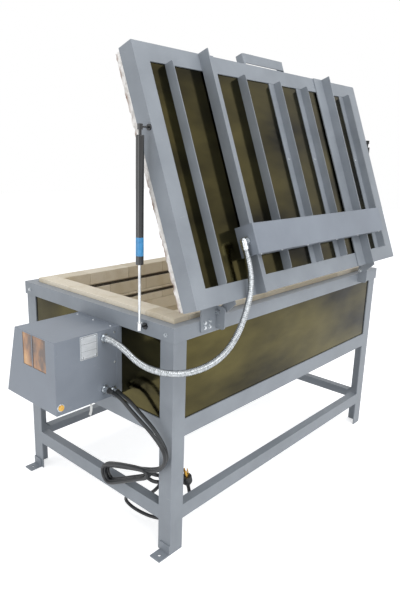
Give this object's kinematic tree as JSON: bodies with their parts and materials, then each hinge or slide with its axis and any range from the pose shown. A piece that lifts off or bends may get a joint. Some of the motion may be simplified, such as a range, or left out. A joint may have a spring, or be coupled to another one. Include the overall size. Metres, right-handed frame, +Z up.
{
  "type": "glass kiln",
  "caption": "Clamshell glass kiln on an angle-steel stand, ribbed hinged lid on gas struts, side control box and flexible conduit.",
  "frame": {"origin": "on the floor, midway between the two anchor holes of the foot tabs at the control box end", "axes": "+Z up, +X along the body towards the control box, +Y towards the hinge side"},
  "size_m": [1.8435, 1.0447, 1.8443],
  "materials": {
    "frame_paint": "satin grey paint",
    "mirror_sheet": "mirror polished stainless sheet",
    "pan_sheet": "galvanised sheet",
    "backing_fibre": "fibre board",
    "brick": "matte insulating firebrick",
    "coil_wire": "oxidised wire",
    "lid_fibre": "white ceramic fibre",
    "seal_fibre": "rust stained fibre",
    "zinc": "zinc plated",
    "conduit_metal": "galvanised strip wound conduit",
    "display_glass": "amber display glass",
    "lamp_lens": "yellow lens",
    "plate_metal": "blank plate",
    "tag_plastic": "white tag",
    "cord_rubber": "black cord jacket",
    "plug_rubber": "black plug",
    "strut_black": "black",
    "strut_rod": "polished rod"
  },
  "bodies": {
    "body": {"leg_right_front": "frame_paint", "leg_right_rear": "frame_paint", "leg_left_front": "frame_paint", "leg_left_rear": "frame_paint", "foot_tabs": "frame_paint", "top_rails_end": "frame_paint", "top_rails_side": "frame_paint", "low_rails_end": "frame_paint", "low_rails_side": "frame_paint", "stretchers_end": "frame_paint", "stretchers_side": "frame_paint", "panels_end": "mirror_sheet", "panels_side": "mirror_sheet", "floor_pan": "pan_sheet", "backing_insulation": "backing_fibre", "brick_floor": "brick", "brick_walls_end": "brick", "brick_walls_side": "brick", "wall_elements": "coil_wire", "hinge_brackets": "frame_paint", "hinge_bolts": "zinc", "strut_studs_lower": "zinc", "control_box_base": "frame_paint", "control_box_hood": "frame_paint", "display_pane": "display_glass", "lamp": "lamp_lens", "blank_plate": "plate_metal", "tag": "tag_plastic", "cord_glands": "zinc", "conduit_connector": "zinc", "cord_hank": "cord_rubber", "supply_cord_1": "cord_rubber", "supply_cord_2": "cord_rubber", "plug_lead_1": "cord_rubber", "plug_lead_2": "cord_rubber", "plug_1": "plug_rubber", "plug_2": "plug_rubber", "flexible_conduit": "conduit_metal"},
    "lid": {"lid_frame_ends": "frame_paint", "lid_frame_sides": "frame_paint", "lid_panel": "mirror_sheet", "lid_lining": "lid_fibre", "lid_seal": "seal_fibre", "lid_elements": "coil_wire", "lid_short_ribs": "frame_paint", "lid_long_ribs": "frame_paint", "wiring_cover": "frame_paint", "cover_connector": "zinc", "hinge_lugs": "frame_paint", "lid_handle": "frame_paint", "strut_studs_upper": "zinc"},
    "strut_rod_right": {"strut_rod_right": "strut_rod"},
    "strut_rod_left": {"strut_rod_left": "strut_rod"},
    "strut_tube_right": {"strut_tube_right": "strut_black", "strut_head_right": "strut_black"},
    "strut_tube_left": {"strut_tube_left": "strut_black", "strut_head_left": "strut_black"}
  },
  "joints": [
    {"name": "lid_hinge", "type": "hinge", "parent": "body", "child": "lid", "pos_m": [-0.7871, 0.4726, 0.9094], "axis": [1, 0, 0], "range_deg": [0, 69.08]},
    {"name": "strut_pivot_right", "type": "hinge", "parent": "body", "child": "strut_rod_right", "pos_m": [0.0029, 0.318, 0.867], "axis": [1, 0, 0], "range_deg": [0, 76]},
    {"name": "strut_slide_right", "type": "slide", "parent": "strut_rod_right", "child": "strut_tube_right", "axis": [0, -0.0014, -1], "range_m": [0, 0.16818]},
    {"name": "strut_pivot_left", "type": "hinge", "parent": "body", "child": "strut_rod_left", "pos_m": [-1.5771, 0.318, 0.867], "axis": [1, 0, 0], "range_deg": [0, 76]},
    {"name": "strut_slide_left", "type": "slide", "parent": "strut_rod_left", "child": "strut_tube_left", "axis": [0, -0.0014, -1], "range_m": [0, 0.16818]}
  ],
  "couplings": [
    {"joint": "strut_pivot_right", "follows": "lid_hinge", "ratio": 1.1},
    {"joint": "strut_slide_right", "follows": "lid_hinge", "m_per_rad": 0.13947},
    {"joint": "strut_pivot_left", "follows": "lid_hinge", "ratio": 1.1},
    {"joint": "strut_slide_left", "follows": "lid_hinge", "m_per_rad": 0.13947}
  ]
}
